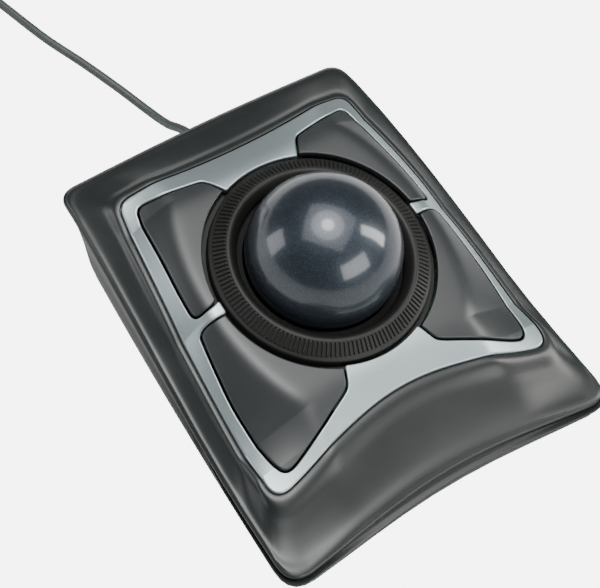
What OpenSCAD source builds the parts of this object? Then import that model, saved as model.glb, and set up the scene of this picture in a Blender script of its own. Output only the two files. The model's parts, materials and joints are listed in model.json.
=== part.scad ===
// Large desktop trackball: a ball in a tilted cup, a scroll ring round it, four buttons,
// a wedge shaped shell with a flared rim, and a cord with a USB plug.
// +X is the user's right, +Y points away from the user, +Z is up. Sizes in mm.

/* [Body] */
// Half width of the shell at its front corners
front_half = 70; // [62:0.5:84]
// Half width of the shell at its back corners
back_half = 61; // [52:0.5:74]
// Distance from the ball centre to the front corners
front_reach = 89.6; // [80:0.1:108]
// Distance from the ball centre to the back edge of the rim
back_reach = 73.5; // [68:0.1:90]
// Height of the ball centre above the desk
ball_z = 37.5; // [36.5:0.1:46]
// Thickness of the shell walls
wall = 2.2; // [1.6:0.1:2.6]
// How far the front edge curves in at its middle
front_hollow = 7; // [2:0.5:14]
// How far the bottom of the back wall sits in from the rim
back_undercut = 17; // [12:0.5:20]

/* [Ball and ring] */
// Diameter of the ball
ball_d = 55; // [46:0.5:66]
// Forward tilt of the ring and ball cup
ring_tilt = 7; // [5:0.5:8.5]
// Height of the ball centre above the ring opening
ball_rise = 4.85; // [4:0.05:5.8]
// Number of ribs round the scroll ring
rib_count = 144; // [96:12:168]
// Radial width of the ribbed face
rib_band = 4; // [3.4:0.1:4.8]
// Number of slots in the ring's encoder skirt
slot_count = 36; // [24:6:48]
// Diameter of the small support balls
support_d = 3; // [2.5:0.1:3.6]

/* [Buttons] */
// Gap between a button and the frame round it
button_gap = 0.7; // [0.5:0.05:0.9]
// Thickness of the buttons and the silver frame
top_t = 2.2; // [1.8:0.1:2.6]
// Distance from the centre line to the button hinge axis
hinge_x = 47; // [44:0.5:49]
// Diameter of the button hinge pins
pin_d = 2.4; // [2:0.1:2.9]
// Width of the spoke between the back and front buttons
spoke_w = 3.2; // [2.4:0.1:4.5]
// Travel of a switch plunger
plunger_travel = 0.35; // [0.25:0.05:0.45]

/* [Cord] */
// Diameter of the cord
cord_d = 3.4; // [3:0.1:4]
// Mean diameter of the wound coil
coil_d = 40; // [34:1:46]
// Width and height of the coil's bundle
bundle = 14; // [12:0.5:16]

/* [Hidden] */
$fn = 64;

// the ball centre sits this far behind the middle of the body
ball_y = (front_reach - back_reach - 1.1) / 2;
hole_r = ball_d / 2 + 12.9;
ring_z = ball_z - ball_rise * cos(ring_tilt);
// the top surface falls away outside the ring opening
fall = 0.46;
fall_half = 60;
fall_start = hole_r + 0.6;
side_slope = 1.12;
slope_fade = 0.0125;
slope_min = 0.45;
crease_r = 90;
// the silver frame's outline
bez_back = [back_half - 12.5, back_reach - 18.5];
bez_front = [front_half - 11, -(front_reach - 27)];
bez_hollow = 11;
bez_gap = 0.35;
ledge_w = 2.2;
ledge_drop = 0.25;
foot_h = 1;
floor_z0 = foot_h;
floor_t = 1.8;
floor_z1 = floor_z0 + floor_t;
// thin seam between the base plate and the shell
seam = 0.1;
pad_z = floor_z1 + 2.4;
// heights in the tilted ring frame, from the ring opening
plate_top = -14.5;
plate_t = 2;
board_top = -10.8;
board_t = 1.6;
switch_h = 6;
hinge_zr = -11;
pin_r = pin_d / 2;
pin_clear = 0.05;
lug_y = [14, 29];
lug_t = 2.4;
lug_in = 2;
saddle_t = 2.2;
switch_x = 28;
switch_y = 41;
track_r = ball_d / 2 + 3.5;
track_clear = 0.05;
ring_low = -4.9;
flange_top = -5;
ring_r = hole_r - 0.8;
skirt_r0 = track_r + 6;
skirt_t = 0.8;
cup_r = ball_d / 2 + 0.8;
cup_t = 1.7;
plunger_gap = 0.05;
post_x = 40;
post_yb = 34;
post_yf = -36;
screw_r = 1.25;
exit_z = 9.5;
exit_y = back_reach - back_undercut + 4;

function soft(t, w) = t > 12 * w ? t : w * ln(1 + exp(t / w));
function crease_x(y) = max(sqrt(crease_r * crease_r - min(abs(y), 80) * min(abs(y), 80)) - 44, 35);
function end_fall(x, y) = fall * max(1 - (x / fall_half) * (x / fall_half), 0)
  * soft(abs(y) - fall_start, 1.2);
function side_fall(x, y) = max(side_slope - slope_fade * abs(y), slope_min)
  * soft(abs(x) - crease_x(y), 0.8);
// height of the top surface, measured from the ball centre in plan
function top_z(x, y) = ring_z + y * tan(ring_tilt) - end_fall(x, y) - side_fall(x, y);
function mix(a, b, t) = a + (b - a) * t;

// a closed outline with four gently curved sides and rounded corners
side_n = 10;
corner_n = 4;
function side_pt(a, b, bow, t) =
  let (d = b - a, n = [d[1], -d[0]] / norm(d)) mix(a, b, t) - n * bow * 4 * t * (1 - t);
function hollow_pt(a, b, bow, t) =
  let (c = cos(180 * (t - 0.5) * 0.93)) [mix(a[0], b[0], t), mix(a[1], b[1], t) + bow * pow(c * c, 0.85)];
function turn(p, c, q, t) = mix(mix(p, c, t), mix(c, q, t), t);
function outline(xb, yb, xf, yf, side, hollow, back, rb, rf) =
  let (
    br = [xb, yb], fr = [xf, yf], fl = [-xf, yf], bl = [-xb, yb],
    ls = norm(br - fr),
    right = [for (i = [0:side_n - 1])
      side_pt(br, fr, side, mix(rb / ls, 1 - rf / ls, i / (side_n - 1)))],
    front = [for (i = [0:side_n - 1])
      hollow_pt(fr, fl, hollow, mix(rf / (2 * xf), 1 - rf / (2 * xf), i / (side_n - 1)))],
    left = [for (i = [0:side_n - 1]) [-right[side_n - 1 - i][0], right[side_n - 1 - i][1]]],
    rear = [for (i = [0:side_n - 1])
      side_pt(bl, br, back, mix(rb / (2 * xb), 1 - rb / (2 * xb), i / (side_n - 1)))]
  )
  concat(right,
    [for (k = [1:corner_n]) turn(right[side_n - 1], fr, front[0], k / (corner_n + 1))],
    front,
    [for (k = [1:corner_n]) turn(front[side_n - 1], fl, left[0], k / (corner_n + 1))],
    left,
    [for (k = [1:corner_n]) turn(left[side_n - 1], bl, rear[0], k / (corner_n + 1))],
    rear,
    [for (k = [1:corner_n]) turn(rear[side_n - 1], br, right[0], k / (corner_n + 1))]);

function grow(pts, d) = let (n = len(pts)) [for (i = [0:n - 1])
  let (a = pts[(i + n - 1) % n], b = pts[(i + 1) % n], t = b - a, m = [t[1], -t[0]] / norm(t))
  pts[i] - m * d];

bezel_line = outline(bez_back[0], bez_back[1], bez_front[0], bez_front[1], 2.4, bez_hollow, -2.2, 5, 7);
rim_line = outline(back_half, back_reach + 1, front_half - 0.3, -(front_reach - 1.4),
  1, front_hollow - 0.6, -1, 7, 10);
foot_line = outline(back_half - 1.5, back_reach - back_undercut, front_half + 0.4, -front_reach - 0.2,
  1.2, front_hollow - 2, 0, 8, 11);

// height of the rim along the sides, with the middle of the front and back lifted
rim_side = [[-90, 6.5], [-60, 7], [-45, 7.7], [-30, 9.6], [-16, 12.4], [0, 15.4], [17, 18.4],
  [33, 20.7], [47, 22.2], [63, 23], [75, 22]];
function rim_z(x, y) = lookup(y, rim_side) + (ball_z - 37.5)
  + (y < 0 ? 2.5 : 4) * pow(max(1 - (x / 62) * (x / 62), 0), 1.2) * max(min((abs(y) - 55) / 14, 1), 0);

function at_top(pts) = [for (p = pts) [p[0], p[1], top_z(p[0], p[1])]];
function at_rim(pts) = [for (p = pts) [p[0], p[1], rim_z(p[0], p[1])]];
function at_z(pts, z) = [for (p = pts) [p[0], p[1], z]];
function shift_z(pts, dz) = [for (p = pts) [p[0], p[1], p[2] + dz]];
function blend_rings(a, b, t, dip) = [for (i = [0:len(a) - 1]) mix(a[i], b[i], t) - [0, 0, dip]];
// the same ring moved inward in plan
function inset(pts, d) = let (g = grow([for (p = pts) [p[0], p[1]]], -d))
  [for (i = [0:len(pts) - 1]) [g[i][0], g[i][1], pts[i][2]]];

module ring_skin(rings) {
  m = len(rings);
  n = len(rings[0]);
  polyhedron(points = [for (r = rings) each r], faces = concat(
    [for (j = [0:m - 1], i = [0:n - 1])
      [j * n + i, j * n + (i + 1) % n, ((j + 1) % m) * n + (i + 1) % n]],
    [for (j = [0:m - 1], i = [0:n - 1])
      [j * n + i, ((j + 1) % m) * n + (i + 1) % n, ((j + 1) % m) * n + i]]), convexity = 8);
}

open_edge = at_top(grow(bezel_line, bez_gap));
rim_edge = at_rim(rim_line);
foot_edge = at_z(foot_line, floor_z1 + seam);
under_rim = inset(shift_z(rim_edge, -2.2), 1.2);
wall_mid = inset(blend_rings(under_rim, foot_edge, 0.5, 0), 0.6);

module shell_loft() {
  ring_skin([
    open_edge,
    blend_rings(open_edge, rim_edge, 0.33, 0.55),
    blend_rings(open_edge, rim_edge, 0.66, 0.6),
    blend_rings(open_edge, rim_edge, 0.9, 0.1),
    inset(shift_z(rim_edge, 0), 0.5),
    shift_z(rim_edge, -0.8),
    under_rim,
    wall_mid,
    foot_edge,
    inset(foot_edge, wall),
    inset(wall_mid, wall),
    inset(shift_z(under_rim, -wall * 0.4), wall + 0.6),
    shift_z(inset(blend_rings(open_edge, rim_edge, 0.8, 0), 1), -wall - 0.6),
    shift_z(blend_rings(open_edge, rim_edge, 0.4, 0.6), -wall),
    shift_z(inset(open_edge, -0.2), -top_t - 1.7),
    shift_z(inset(open_edge, ledge_w), -top_t - 1.7),
    shift_z(inset(open_edge, ledge_w), -top_t - ledge_drop),
    shift_z(open_edge, -top_t - ledge_drop)]);
}

// everything built round the ball centre is moved to its place in the body
module at_ball() {
  translate([0, ball_y, 0]) children();
}

module at_ring() {
  translate([0, ball_y, ring_z]) rotate([ring_tilt, 0, 0]) children();
}

module upper_shell() {
  color("#3c4242") at_ball() resize([0, 0, 0]) difference() {
    shell_loft();
    translate([0, exit_y - 12, exit_z]) rotate([-90, 0, 0]) cylinder(r = 3.4, h = 30, $fn = 32);
  }
}

// a slab that follows the top surface over a rectangle
module top_slab(x0, x1, y0, y1, nx, ny) {
  m = (nx + 1) * (ny + 1);
  pts = concat(
    [for (j = [0:ny], i = [0:nx]) let (x = mix(x0, x1, i / nx), y = mix(y0, y1, j / ny)) [x, y, top_z(x, y)]],
    [for (j = [0:ny], i = [0:nx]) let (x = mix(x0, x1, i / nx), y = mix(y0, y1, j / ny))
      [x, y, top_z(x, y) - top_t]]);
  w = nx + 1;
  polyhedron(points = pts, faces = concat(
    [for (j = [0:ny - 1], i = [0:nx - 1]) [j * w + i, (j + 1) * w + i, (j + 1) * w + i + 1]],
    [for (j = [0:ny - 1], i = [0:nx - 1]) [j * w + i, (j + 1) * w + i + 1, j * w + i + 1]],
    [for (j = [0:ny - 1], i = [0:nx - 1]) [m + j * w + i, m + (j + 1) * w + i + 1, m + (j + 1) * w + i]],
    [for (j = [0:ny - 1], i = [0:nx - 1]) [m + j * w + i, m + j * w + i + 1, m + (j + 1) * w + i + 1]],
    [for (i = [0:nx - 1]) each [[i, i + 1, m + i + 1], [i, m + i + 1, m + i]]],
    [for (i = [0:nx - 1]) let (a = ny * w + i) each [[a, m + a + 1, a + 1], [a, m + a, m + a + 1]]],
    [for (j = [0:ny - 1]) let (a = j * w) each [[a, m + a, m + a + w], [a, m + a + w, a + w]]],
    [for (j = [0:ny - 1]) let (a = j * w + nx) each [[a, m + a + w, m + a], [a, a + w, m + a + w]]]),
    convexity = 6);
}

// plan outlines of the right hand buttons, without their gap
function arc_pts(r, a0, a1, n) = [for (i = [0:n]) let (a = mix(a0, a1, i / n)) [r * cos(a), r * sin(a)]];
spoke_b = spoke_w / 2 + 0.5;
spoke_f = -spoke_w / 2;
ring_side_b = arc_pts(hole_r + 0.4, asin((spoke_b + 1.1) / hole_r), 68, 12);
ring_side_f = arc_pts(hole_r + 0.4, -67.5, asin((spoke_f - 0.2) / hole_r), 12);
bez_bx = bez_back[0];
bez_fx = bez_front[0];
back_plan = concat(ring_side_b, [
  [hole_r * 0.45, bez_back[1] - 12], [hole_r * 0.5, bez_back[1] - 9.6], [hole_r * 0.56, bez_back[1] - 8.9],
  [hole_r * 0.7, bez_back[1] - 8.1], [bez_bx - 12, bez_back[1] - 7], [bez_bx - 7.5, bez_back[1] - 5.9],
  [bez_bx - 5.2, bez_back[1] - 5.7], [bez_bx - 3.6, bez_back[1] - 7], [bez_bx - 3, bez_back[1] - 9],
  [bez_bx - 1.9, bez_back[1] - 14], [bez_bx - 0.5, bez_back[1] - 26], [bez_bx + 1.1, bez_back[1] - 39],
  [bez_bx + 1.8, bez_back[1] - 48], [bez_bx + 1.7, spoke_b + 2.3], [bez_bx + 0.8, spoke_b + 0.6],
  [bez_bx - 1, spoke_b], [bez_bx - 5, spoke_b + 0.2]]);
front_plan = concat(ring_side_f, [
  [bez_fx - 13, spoke_f - 0.1], [bez_fx - 10.1, spoke_f + 0.1], [bez_fx - 7.9, spoke_f - 0.8], [bez_fx - 7.2, -5], [bez_fx - 5.8, -16],
  [bez_fx - 4.7, -28], [bez_fx - 4.7, -41], [bez_fx - 5.2, bez_front[1] + 12.6],
  [bez_fx - 6, bez_front[1] + 8.6], [bez_fx - 7, bez_front[1] + 6.8], [bez_fx - 8.6, bez_front[1] + 5.9],
  [bez_fx - 10.5, bez_front[1] + 5.9], [bez_fx - 13.8, bez_front[1] + 6.8],
  [bez_fx - 20, bez_front[1] + 9.1], [bez_fx - 26, bez_front[1] + 11.5], [bez_fx - 32, bez_front[1] + 14.3],
  [hole_r * 0.52, bez_front[1] + 17], [hole_r * 0.46, bez_front[1] + 18.6], [hole_r * 0.43, bez_front[1] + 20.7]]);

module back_area(gap) {
  offset(delta = -gap) polygon(back_plan);
}

module front_area(gap) {
  offset(delta = -gap) polygon(front_plan);
}

module bezel() {
  color("#9aa7aa") at_ball() resize([0, 0, 0]) intersection() {
    top_slab(-64, 64, -68, 62, 26, 26);
    linear_extrude(height = 60) difference() {
      polygon(bezel_line);
      circle(r = hole_r, $fn = 72);
      for (s = [-1, 1]) scale([s, 1]) {
        back_area(0);
        front_area(0);
      }
    }
  }
}

// height, in the ring frame, of a point inside the top slab
function in_slab(x, yr, deep) = (top_z(x, yr * cos(ring_tilt) + 1) - ring_z
  - (yr * cos(ring_tilt) + 1) * tan(ring_tilt)) * cos(ring_tilt) - deep;

module hinge_parts(side, s) {
  for (y = lug_y) {
    top = in_slab(hinge_x - lug_in, s * y, 1.1);
    translate([side * hinge_x - 1.9, s * y - lug_t / 2, hinge_zr - 1.9]) cube([3.8, lug_t, 3.8]);
    translate([side * (hinge_x - lug_in) - 1.4, s * y - lug_t / 2, hinge_zr - 1.9])
      cube([2.8, lug_t, top - hinge_zr + 1.9]);
  }
  for (y = [lug_y[0] - lug_t / 2 - saddle_t, lug_y[1] - 0.6])
    translate([side * hinge_x, s > 0 ? y : -y - saddle_t - 0.6 - lug_t / 2, hinge_zr])
      rotate([-90, 0, 0]) cylinder(r = pin_r, h = saddle_t + lug_t / 2 + 0.6, $fn = 32);
  // the stub that presses the switch
  rib_low = board_top + switch_h + 1.2 + plunger_gap;
  translate([side * switch_x, s * switch_y, rib_low])
    cylinder(r = 1.6, h = in_slab(switch_x, s * switch_y, 1) - rib_low, $fn = 32);
}

module back_button(side) {
  color("#54595a") {
    at_ball() scale([side, 1, 1]) resize([0, 0, 0]) intersection() {
      top_slab(12, 54, 0, 52, 13, 16);
      linear_extrude(height = 60) back_area(button_gap);
    }
    at_ring() hinge_parts(side, 1);
  }
}

module front_button(side) {
  color("#54595a") {
    at_ball() scale([side, 1, 1]) resize([0, 0, 0]) intersection() {
      top_slab(12, 58, -60, 0, 14, 18);
      linear_extrude(height = 60) front_area(button_gap);
    }
    at_ring() hinge_parts(side, -1);
  }
}

module plunger(side, s) {
  color("#b8452f") at_ring() translate([side * switch_x, s * switch_y, board_top + switch_h - 1])
    cylinder(r = 1, h = 2.2, $fn = 32);
}

module switch_bodies() {
  color("#26292b") at_ring() for (side = [-1, 1], s = [-1, 1])
    translate([side * switch_x, s * switch_y, board_top]) difference() {
      translate([-3.1, -6.2, 0]) cube([6.2, 12.4, switch_h]);
      translate([0, 0, switch_h - 1.6]) cylinder(r = 1.05, h = 3, $fn = 32);
    }
}

// ribs are sectors cut from a raised cone band
module star(n, r, duty) {
  step = 360 / n;
  polygon([for (i = [0:n - 1]) each [[0.2 * cos(i * step), 0.2 * sin(i * step)],
    [r * cos((i + 0.5 - duty / 2) * step), r * sin((i + 0.5 - duty / 2) * step)],
    [r * cos((i + 0.5 + duty / 2) * step), r * sin((i + 0.5 + duty / 2) * step)]]]);
}

rib_out = hole_r - 2.3;
rib_in = rib_out - rib_band;
rib_low = 1.1;
rib_high = rib_low + rib_band * 0.6;
rib_deep = 0.45;

module scroll_ring() {
  color("#232423") at_ring() difference() {
    union() {
      rotate_extrude($fn = 96) polygon([[track_r + track_clear, ring_low], [skirt_r0, ring_low],
        [skirt_r0, ring_low - 3.5], [skirt_r0 + skirt_t, ring_low - 3.5], [skirt_r0 + skirt_t, ring_low],
        [hole_r + 1.2, ring_low], [hole_r + 1.2, ring_low + 1], [ring_r, ring_low + 1],
        [ring_r, -0.1], [ring_r - 0.5, 0.4], [rib_out + 0.25, 0.65], [rib_out, rib_low - rib_deep],
        [rib_in, rib_high - rib_deep], [rib_in - 0.1, rib_high], [rib_in - 0.6, rib_high + 0.25],
        [rib_in - 1.6, rib_high + 0.2], [rib_in - 2.2, rib_high - 0.2],
        [track_r - 1.2, 0.6], [track_r - 1.4, 0], [track_r - 1.4, -1.9], [track_r + track_clear, -1.9]]);
      intersection() {
        rotate_extrude($fn = 96) polygon([[rib_out, rib_low - rib_deep - 0.3], [rib_out, rib_low],
          [rib_in - 0.05, rib_high], [rib_in - 0.05, rib_high - rib_deep - 0.3]]);
        linear_extrude(height = 8) star(rib_count, hole_r, 0.5);
      }
    }
    translate([0, 0, ring_low - 3]) linear_extrude(height = 2.4) difference() {
      star(slot_count, skirt_r0 + 2, 0.45);
      circle(r = skirt_r0 - 0.6);
    }
  }
}

module ball() {
  color("#38424c") at_ring() translate([0, 0, ball_rise]) sphere(r = ball_d / 2, $fn = 96);
}

support_at = [for (a = [90, 210, 330]) let (d = ball_d / 2 + support_d / 2 + 0.03)
  [d * cos(35) * cos(a), d * cos(35) * sin(a), ball_rise - d * sin(35)]];

module ball_cup() {
  color("#2b2d2e") at_ring() difference() {
    union() {
      difference() {
        translate([0, 0, ball_rise]) sphere(r = cup_r + cup_t, $fn = 96);
        translate([-60, -60, -2.2]) cube([120, 120, 80]);
      }
      for (p = support_at) translate(p) sphere(r = support_d / 2 + 1.4, $fn = 32);
      rotate_extrude($fn = 96) polygon([[track_r - 2.2, flange_top - 2], [track_r - 2.2, -2.2],
        [track_r, -2.2], [track_r, flange_top], [track_r + 4.2, flange_top],
        [track_r + 4.2, flange_top - 2], [track_r - 0.4, flange_top - 2], [track_r - 0.4, plate_top],
        [track_r - 1.8, plate_top], [track_r - 1.8, flange_top - 2]]);
      for (s = [-1, 1]) translate([s * 10.5, 0, ball_rise - cup_r - 4]) cylinder(r = 1.8, h = 5, $fn = 32);
    }
    translate([0, 0, ball_rise]) sphere(r = cup_r, $fn = 96);
    for (p = support_at) translate(p) sphere(r = support_d / 2 + 0.02, $fn = 32);
    translate([0, 0, -30]) cylinder(r = 5, h = 10, $fn = 48);
  }
}

module support_balls() {
  color("#e8e4dc") at_ring() for (p = support_at) translate(p) sphere(r = support_d / 2, $fn = 32);
}

module sensor_window() {
  color("#a8463c") at_ring() translate([0, 0, ball_rise - cup_r - 1.6]) cylinder(r = 4.9, h = 1.35, $fn = 48);
}

module sensor_chip() {
  color("#1d1f20") at_ring() translate([-4.5, -6, ball_rise - cup_r - 3.9]) cube([9, 12, 2.2]);
}

module sensor_board() {
  color("#2f6b46") at_ring() difference() {
    translate([-13.5, -10.5, ball_rise - cup_r - 5.1]) cube([27, 21, 1.1]);
    for (s = [-1, 1]) translate([s * 10.5, 0, ball_rise - cup_r - 6]) cylinder(r = 0.9, h = 3, $fn = 24);
  }
}

board_half = [41.5, 47];
board_post = [[37, 22], [37, -22]];

module main_board() {
  color("#2f6b46") at_ring() translate([0, 0, board_top - board_t]) difference() {
    translate([-board_half[0], -board_half[1], 0]) cube([2 * board_half[0], 2 * board_half[1], board_t]);
    translate([0, 0, -1]) cylinder(r = track_r + 0.6, h = 4);
    for (s = [-1, 1], p = board_post) translate([s * p[0], p[1], -1]) cylinder(r = 1.2, h = 4, $fn = 24);
  }
}

module board_screws() {
  color("#b9bcbd") at_ring() for (s = [-1, 1], p = board_post) translate([s * p[0], p[1], 0]) {
    translate([0, 0, board_top]) cylinder(r = 2.1, h = 1.2, $fn = 32);
    translate([0, 0, board_top - 5]) cylinder(r = 1.1, h = 5.5, $fn = 24);
  }
}

module ring_sensor() {
  mid = skirt_r0 + skirt_t / 2;
  color("#1f2122") at_ring() translate([0, mid, board_top]) difference() {
    translate([-3, -1.9, 0]) cube([6, 3.8, 4.1]);
    translate([-4, -0.9, 1.6]) cube([8, 1.8, 4]);
  }
}

module board_connector() {
  color("#e6e2d6") at_ring() translate([6, 41, board_top]) difference() {
    cube([11, 5, 4]);
    translate([0.8, 1, 1]) cube([9.4, 3, 4]);
  }
}

frame_half = [50.5, 46];

module button_frame() {
  color("#2e3132") {
    at_ring() difference() {
      union() {
        translate([-frame_half[0], -frame_half[1], plate_top - plate_t])
          cube([2 * frame_half[0], 2 * frame_half[1], plate_t]);
        for (s = [-1, 1], p = board_post) translate([s * p[0], p[1], plate_top - 0.5])
          cylinder(r = 3, h = board_top - board_t - plate_top + 0.5, $fn = 32);
        for (side = [-1, 1], s = [-1, 1], y = [lug_y[0] - lug_t / 2 - saddle_t / 2, lug_y[1] + lug_t / 2 + saddle_t / 2])
          translate([side * hinge_x - 2.3, s * y - (saddle_t - 0.3) / 2, plate_top - 0.5])
            cube([4.6, saddle_t - 0.3, hinge_zr - plate_top + 2.3]);
      }
      translate([0, 0, plate_top - 4]) cylinder(r = track_r - 3, h = 8);
      for (side = [-1, 1], s = [-1, 1])
        translate([side * hinge_x, s > 0 ? 5 : -45, hinge_zr])
          rotate([-90, 0, 0]) cylinder(r = pin_r + pin_clear, h = 40, $fn = 32);
      for (s = [-1, 1], p = board_post) translate([s * p[0], p[1], board_top - 6]) cylinder(r = 1.12, h = 8, $fn = 24);
    }
    at_ball() for (s = [-1, 1], y = [post_yb, post_yf]) translate([s * post_x, y, 0]) difference() {
      h = ring_z + y * tan(ring_tilt) + (plate_top - plate_t / 2) / cos(ring_tilt);
      translate([0, 0, pad_z]) cylinder(r = 3.2, h = h - pad_z, $fn = 32);
      translate([0, 0, pad_z - 1]) cylinder(r = screw_r + 0.03, h = 8, $fn = 32);
    }
  }
}

foot_r = 6;
foot_at = [[front_half - 14, -(front_reach - 18)], [back_half - 14, back_reach - back_undercut - 12]];

module base_plate() {
  color("#33383a") at_ball() difference() {
    union() {
      translate([0, 0, floor_z0]) linear_extrude(height = floor_t) polygon(grow(foot_line, -0.4));
      for (s = [-1, 1], y = [post_yb, post_yf]) translate([s * post_x, y, floor_z0])
        cylinder(r = 4.6, h = pad_z - floor_z0, $fn = 32);
    }
    for (s = [-1, 1], p = foot_at) translate([s * p[0], p[1], floor_z0 - 1]) cylinder(r = foot_r + 0.1, h = 1.6, $fn = 48);
    for (s = [-1, 1], y = [post_yb, post_yf]) translate([s * post_x, y, 0]) {
      cylinder(r = screw_r + 0.3, h = 9, $fn = 32);
      cylinder(r = 2.9, h = floor_z0 + 2, $fn = 32);
    }
  }
}

module rubber_feet() {
  color("#1c1c1c") at_ball() for (s = [-1, 1], p = foot_at) translate([s * p[0], p[1], 0])
    cylinder(r = foot_r, h = floor_z0 + 0.6, $fn = 48);
}

module base_screws() {
  color("#b9bcbd") at_ball() for (s = [-1, 1], y = [post_yb, post_yf]) translate([s * post_x, y, 0]) {
    translate([0, 0, floor_z0 + 0.4]) cylinder(r = 2.6, h = 1.6, $fn = 32);
    translate([0, 0, floor_z0 + 1.9]) cylinder(r = screw_r, h = 7, $fn = 32);
  }
}

// a tube along points, one ring of eight corners at each point
tube_n = 8;
function tangent(p, i) = let (n = len(p), a = p[max(i - 1, 0)], b = p[min(i + 1, n - 1)]) (b - a) / norm(b - a);
function side_of(t) = let (c = cross([0, 0, 1], t)) norm(c) < 0.001 ? [1, 0, 0] : c / norm(c);
function tube_ring(p, i, r) = let (t = tangent(p, i), u = side_of(t), v = cross(t, u))
  [for (k = [0:tube_n - 1]) let (a = 360 * (k + 0.5) / tube_n) p[i] + r * (cos(a) * u + sin(a) * v)];
function curve(a, b, c, d, t) = 0.5 * ((2 * b) + (c - a) * t + (2 * a - 5 * b + 4 * c - d) * t * t
  + (3 * b - a - 3 * c + d) * t * t * t);
function smooth_path(p, n) = let (m = len(p)) concat(
  [for (i = [0:m - 2], k = [0:n - 1])
    curve(p[max(i - 1, 0)], p[i], p[i + 1], p[min(i + 2, m - 1)], k / n)], [p[m - 1]]);

module tube(p, r) {
  n = len(p);
  polyhedron(points = [for (i = [0:n - 1]) each tube_ring(p, i, r)], faces = concat(
    [[for (k = [0:tube_n - 1]) k]],
    [[for (k = [0:tube_n - 1]) (n - 1) * tube_n + tube_n - 1 - k]],
    [for (i = [0:n - 2], k = [0:tube_n - 1])
      [i * tube_n + k, (i + 1) * tube_n + k, (i + 1) * tube_n + (k + 1) % tube_n]],
    [for (i = [0:n - 2], k = [0:tube_n - 1])
      [i * tube_n + k, (i + 1) * tube_n + (k + 1) % tube_n, i * tube_n + (k + 1) % tube_n]]));
}

relief_l = 20.5;
relief_in = 6.5;
cord_r = cord_d / 2;
cord_z = cord_r + 0.1;
// corner points of the cord on the desk, measured from the ball centre
run_start = [0, exit_y + relief_l - relief_in, exit_z];
coil_at = [-80, 246];
coil_r = coil_d / 2;
coil_z = 0.8;
run_points = [run_start, run_start + [0, 2, 0], run_start + [0, 4, 0], run_start + [-0.2, 8, -0.8],
  run_start + [-0.9, 12.5, -3],
  run_start + [-2.2, 18.5, -6.2],
  [-4.5, 103, cord_z], [-8.5, 117, cord_z], [-14, 134, cord_z], [-20.5, 152, cord_z],
  [-27, 176, cord_z], [-33.5, 198, cord_z], [-42, 219, cord_z], [-49.5, 235, cord_z + 0.3],
  [-53.5, 247, cord_z + 0.7], [-56.4, 254.6, cord_z + 0.9]];
plug_z = 4;
plug_at = [-118, 232];
tail_points = [[-88.6, 269.6, 12.9], [-98, 265.5, 11.5], [-108, 257, 8], [-115, 248, 4.6],
  [plug_at[0], plug_at[1] + 9, plug_z], [plug_at[0], plug_at[1] + 4, plug_z], [plug_at[0], plug_at[1], plug_z]];

inner_end = 46.95;
inner_start = exit_y - relief_in - 0.02;
inner_points = [[0, inner_start, exit_z], [0, inner_start - 0.5, exit_z], [0, inner_start - 1, exit_z],
  [1.5, inner_start - 2.6, exit_z + 3.5], [7, inner_start - 3, exit_z + 9.5],
  [11.5, inner_end + 4, 24], [11.5, inner_end + 3.6, 28], [11.5, inner_end + 2, 29.9], [11.5, inner_end, 30.2]];

module strain_relief() {
  color("#2b2f30") at_ball() translate([0, exit_y - relief_in, exit_z]) rotate([-90, 0, 0]) difference() {
    rotate_extrude($fn = 48) polygon([[0, 0], [4.4, 0], [4.4, 1.4], [3.2, 1.4], [3.2, 8.5], [2.4, relief_l], [0, relief_l]]);
    for (k = [0:2]) translate([0, 0, 11 + 3 * k]) difference() {
      cylinder(r = 5, h = 1.1, $fn = 32);
      cylinder(r = 2.1, h = 1.1, $fn = 32);
    }
  }
}

module cord_run() {
  color("#3b4142") at_ball() tube(smooth_path(run_points, 5), cord_r);
}

module inner_cord() {
  color("#3b4142") at_ball() tube(smooth_path(inner_points, 3), 1.2);
}

module cord_coil() {
  color("#3b4142") at_ball() translate([coil_at[0], coil_at[1], coil_z + bundle / 2])
    rotate_extrude($fn = 72) translate([coil_r, 0]) polygon([for (k = [0:15])
      let (a = 22.5 * (k + 0.5), q = bundle / 2, c = cos(a), s = sin(a),
        m = q / pow(pow(abs(c), 3.2) + pow(abs(s), 3.2), 1 / 3.2)) [c * m, s * m]]);
}

module coil_tie() {
  w = bundle + 0.1;
  color("#202324") at_ball() translate([coil_at[0], coil_at[1], coil_z + bundle / 2]) rotate([0, 0, 205])
    rotate_extrude(angle = 20, $fn = 72) translate([coil_r, 0]) difference() {
      square([w + 1.5, w + 1.4], center = true);
      square(w, center = true);
    }
}

module cord_tail() {
  color("#3b4142") at_ball() tube(smooth_path(tail_points, 4), cord_r);
}

module usb_place() {
  translate([plug_at[0], ball_y + plug_at[1] - 0.02, plug_z]) rotate([90, 0, 0]) rotate([0, 0, 90]) children();
}

module usb_overmould() {
  color("#33393a") usb_place() difference() {
    union() {
      cylinder(r1 = 2.3, r2 = 3.4, h = 9, $fn = 32);
      translate([-4, -7.5, 9]) cube([8, 15, 20]);
    }
    translate([-2.25, -6, 26]) cube([4.5, 12, 4]);
  }
}

module usb_shell() {
  color("#b9bcbd") usb_place() difference() {
    translate([-2.25, -6, 26]) cube([4.5, 12, 15.2]);
    translate([-1.95, -5.7, 26.5]) cube([3.9, 11.4, 16]);
  }
}

module usb_insulator() {
  color("#e9e9e4") usb_place() translate([-1.95, -5.7, 26.5]) cube([1.9, 11.4, 14]);
}

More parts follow.
